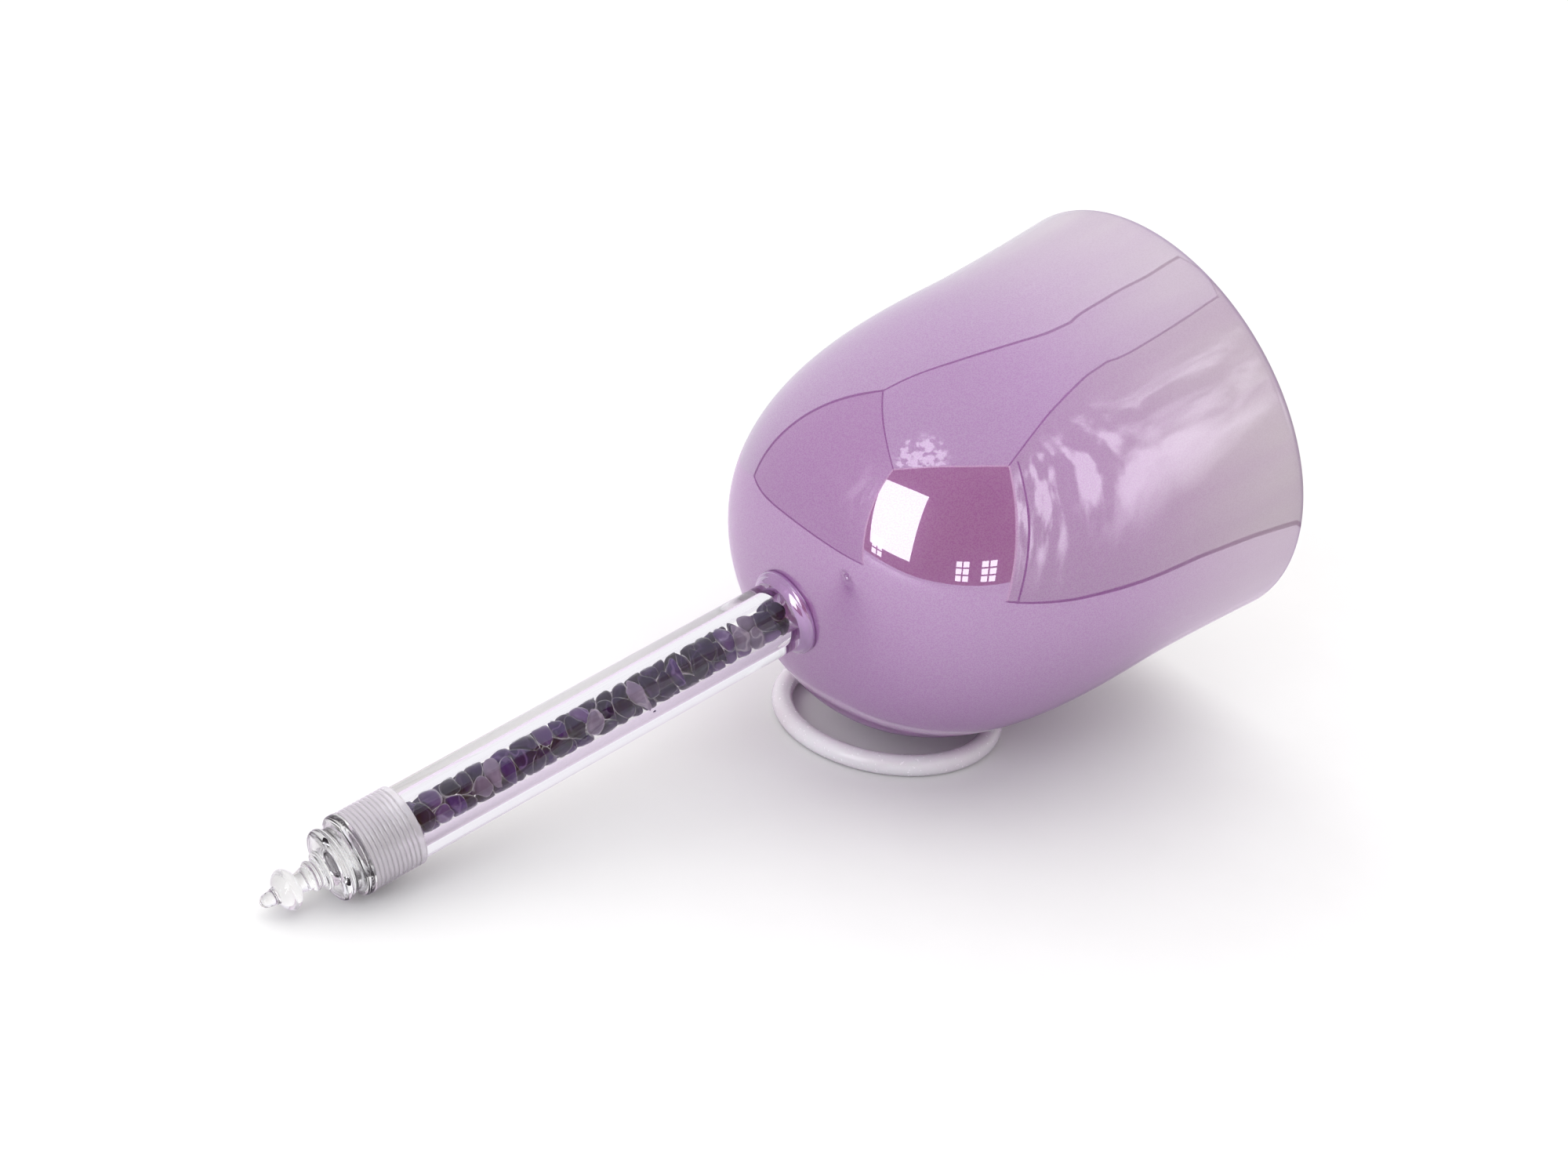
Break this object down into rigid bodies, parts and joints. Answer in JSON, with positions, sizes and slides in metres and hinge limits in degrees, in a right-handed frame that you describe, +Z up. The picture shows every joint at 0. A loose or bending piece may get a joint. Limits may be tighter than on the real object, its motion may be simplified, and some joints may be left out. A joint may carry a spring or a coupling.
{
  "type": "handheld crystal singing bowl",
  "caption": "Handheld crystal singing bowl: a coated dome-bottomed bowl on a clear tube handle filled with tumbled stone chips, with a turned stopper, lying in a soft rest ring.",
  "frame": {"origin": "on the surface the object lies on, under the middle of its bounding box", "axes": "+Z up, +X from the handle's tip towards the bowl's mouth, the bowl's axis in the XZ plane and tilted 15.5 degrees"},
  "size_m": [0.3785, 0.1588, 0.1804],
  "materials": {
    "ring_silicone": "translucent milky silicone, glossy",
    "coated_quartz": "quartz glass with a pearly lilac vapour coating, mirror gloss",
    "coated_bead": "the same coating over the fused bead, glossy",
    "clear_tube": "clear drawn quartz tube, polished",
    "sleeve_silicone": "translucent silicone, satin",
    "clear_ring": "clear fused glass, fire polished",
    "gasket_silicone": "translucent silicone, satin",
    "stopper_glass": "clear lamp-worked glass, fire polished",
    "seal_rubber": "black rubber, satin",
    "deep_amethyst": "tumbled dark amethyst, glossy",
    "violet_amethyst": "tumbled violet amethyst, glossy",
    "lilac_amethyst": "tumbled pale amethyst, glossy",
    "milky_quartz": "tumbled milky quartz, glossy"
  },
  "bodies": {
    "ring": {"rest_ring": "ring_silicone"},
    "bowl": {"bowl_shell": "coated_quartz", "root_bead": "coated_bead", "handle_tube": "clear_tube", "ribbed_sleeve": "sleeve_silicone", "end_ring": "clear_ring"},
    "chips": {"deep_amethyst_chips": "deep_amethyst", "violet_amethyst_chips": "violet_amethyst", "lilac_amethyst_chips": "lilac_amethyst", "milky_quartz_chips": "milky_quartz"},
    "stopper": {"stopper": "stopper_glass", "stopper_gasket": "gasket_silicone", "stopper_seals": "seal_rubber"}
  },
  "joints": [
    {"name": "bowl_lift", "type": "slide", "parent": "ring", "child": "bowl", "axis": [0, 0, 1], "range_m": [0, 0.12]},
    {"name": "stopper_pull", "type": "slide", "parent": "bowl", "child": "stopper", "axis": [-0.9636, 0, -0.2672], "range_m": [0, 0.03]},
    {"name": "chips_shift", "type": "slide", "parent": "bowl", "child": "chips", "axis": [0.9636, 0, 0.2672], "range_m": [0, 0.003]}
  ]
}
